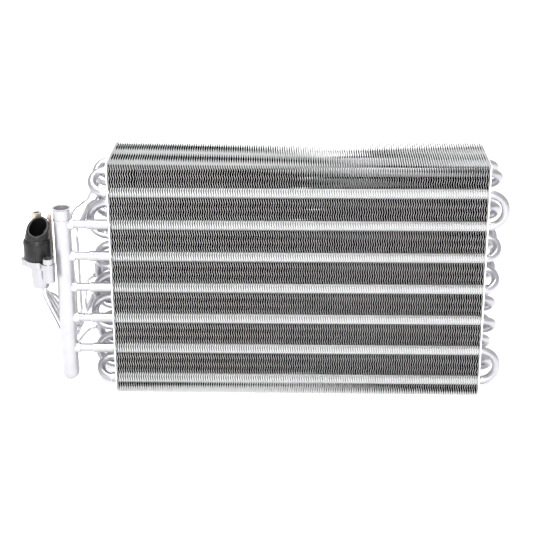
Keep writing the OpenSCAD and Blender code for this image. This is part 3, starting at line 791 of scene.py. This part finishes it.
# Boot: one moulded rubber form, lofted ring by ring and closed over its lip
boot = {
    "wall": 3.0 * mm,
    "foot": 1.2 * mm,                  # rounding of the lower edge
    "waist": 0.25 * mm,                # how far the lower part draws in at its middle
    "lowerHeight": 19.5 * mm,
    "shoulder": (3.0 * mm, 0.6 * mm),  # reach of its rounding below and over that height
    "hoodHeight": 21.0 * mm,
    "hoodBaseRadius": 12.0 * mm,
    "hoodTopRadius": 9.5 * mm,
    "lean": 3.0 * mm,
    "tilt": math.radians(33),
    "cutHeight": 13.4 * mm,
    "spigotRadius": 9.05 * mm,
    "spigotHeight": 13.0 * mm,
    "spigotStep": 1.0 * mm,            # height over which the lining runs in to the spigot
    "shift": 1.2 * mm,                 # spigot's axis to the right of the boot's
    "grooveDepth": 0.7 * mm,
    "grooveRise": 2.2 * mm,            # height over which the hood leaves the groove
    "tongueTurn": math.radians(-28),   # where the small inner tongue stands
    "tongueSpread": 0.16,
    "tongueDepth": 1.3 * mm,
    "sharpAngle": math.radians(50),
    "sides": 96,
    "lipSteps": 12,
    "rimSteps": 12,
    # the rings' heights in millimetres, then their shares of the way up the hood, outside and in
    "lowerRings": (0.0, 0.15, 0.4, 0.8, 1.2, 4.0, 7.0, 10.0, 13.0, 16.5, 17.3, 18.1, 18.8, 19.3),
    "hoodShares": (0.03, 0.1, 0.2, 0.35, 0.5, 0.65, 0.8, 0.9, 1.0),
    "liningShares": (1.0, 0.85, 0.65, 0.4, 0.15),
}
bootTurns = [2 * math.pi * i / boot["sides"] for i in range(boot["sides"])]
bootLow, bootHigh = (Vector(corner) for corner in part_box("rubber_boot"))


def bootOuterRadius(height):
    # the lower part with its rounded foot and shoulder, then the hood that narrows upwards
    low, high = boot["lowerHeight"], boot["lowerHeight"] + boot["hoodHeight"]
    radius = (bootHigh.x - bootLow.x) / 2
    foot = boot["foot"]
    below, over = boot["shoulder"]
    if height < foot:
        return radius - foot + math.sqrt(max(foot ** 2 - (foot - height) ** 2, 0.0))
    if height <= low - below:
        drawnIn = math.sin(math.pi * (height - foot) / (low - below - foot))
        return radius - boot["waist"] * drawnIn
    if height <= low + over:
        share = (height - (low - below)) / (below + over)
        inner = boot["hoodBaseRadius"] - boot["grooveDepth"]
        return inner + (radius - inner) * math.sqrt(max(1 - share ** 2, 0.0))
    share = (height - low) / (high - low)
    plain = boot["hoodBaseRadius"] + (boot["hoodTopRadius"] - boot["hoodBaseRadius"]) * share
    rise = min((height - low - over) / boot["grooveRise"], 1.0)
    return plain - boot["grooveDepth"] * (1 - math.sin(rise * math.pi / 2))


def bootCentreX(height):
    share = max(height - boot["lowerHeight"], 0.0) / boot["hoodHeight"]
    return boot["lean"] * share


def bootRimHeight(turn):
    # where the outer wall meets the slanted mouth, found by a few fixed-point steps
    height = boot["lowerHeight"] + boot["cutHeight"]
    for step in range(boot["rimSteps"]):
        y = bootOuterRadius(height) * math.sin(turn)
        height = boot["lowerHeight"] + boot["cutHeight"] + math.tan(boot["tilt"]) * y
    return height


def bootRing(heightOf, insetOf):
    ring = []
    for turn in bootTurns:
        height = heightOf(turn)
        radius = bootOuterRadius(height) - insetOf(turn)
        across = bootCentreX(height) + radius * math.cos(turn)
        ring.append((across, radius * math.sin(turn), height))
    return ring


def makeBoot():
    lipRound = boot["wall"] / 2
    low = boot["lowerHeight"]
    rings = []

    def tongue(turn):
        away = (turn - boot["tongueTurn"] + math.pi) % (2 * math.pi) - math.pi
        return boot["tongueDepth"] * math.exp(-(away / boot["tongueSpread"]) ** 2)

    def plain(height):
        rings.append(bootRing(lambda turn: height, lambda turn: 0.0))

    def upHood(share, inset):
        def heightOf(turn):
            top = bootRimHeight(turn) - lipRound
            return low + (top - low) * share
        rings.append(bootRing(heightOf, inset))

    for height in boot["lowerRings"]:
        plain(height * mm)
    for share in boot["hoodShares"]:
        upHood(share, lambda turn: 0.0)
    for step in range(1, boot["lipSteps"]):
        bend = math.pi * step / boot["lipSteps"]

        def lipHeight(turn, bend=bend):
            return bootRimHeight(turn) - lipRound + lipRound * math.sin(bend)

        def lipInset(turn, bend=bend):
            return lipRound * (1 - math.cos(bend)) + tongue(turn) * (1 - math.cos(bend)) / 2
        rings.append(bootRing(lipHeight, lipInset))
    for share in boot["liningShares"]:
        upHood(share, lambda turn, share=share: boot["wall"] + tongue(turn) * share)
    lining = len(rings) - len(boot["liningShares"]) - 1      # the last ring of the lip
    radius, top = boot["spigotRadius"], boot["spigotHeight"]
    for height, centre in ((top + boot["spigotStep"], 0.0), (top, boot["shift"]),
                           (0.0, boot["shift"])):
        rings.append([(centre + radius * math.cos(turn), radius * math.sin(turn), height)
                      for turn in bootTurns])
    axis = (bootLow + bootHigh) / 2
    axis.z = bootLow.z
    verts = [tuple(axis + Vector(point)) for ring in rings for point in ring]
    count, sides = len(rings), boot["sides"]
    faces = []
    for r in range(count):
        for i in range(sides):
            j = (i + 1) % sides
            up = (r + 1) % count
            faces.append((r * sides + i, r * sides + j, up * sides + j, up * sides + i))
    mesh = bpy.data.meshes.new("port_boot")
    mesh.from_pydata(verts, [], faces)
    form = bmesh.new()
    form.from_mesh(mesh)
    bmesh.ops.recalc_face_normals(form, faces=form.faces)
    for face in form.faces:
        face.smooth = True
        face.material_index = int(face.index >= lining * sides)
    form.to_mesh(mesh)
    form.free()
    mesh.set_sharp_from_angle(angle=boot["sharpAngle"])
    # faces from the lip's last ring on, lining and spigot, take the second material: painted shade
    for finish in ("bootRubber", "bootLiningShade"):
        mesh.materials.append(materials[finish])
    addPiece("port_boot", mesh, None, ["rubber_boot"])
    print("boot:", count, "rings of", sides)


makeBoot()
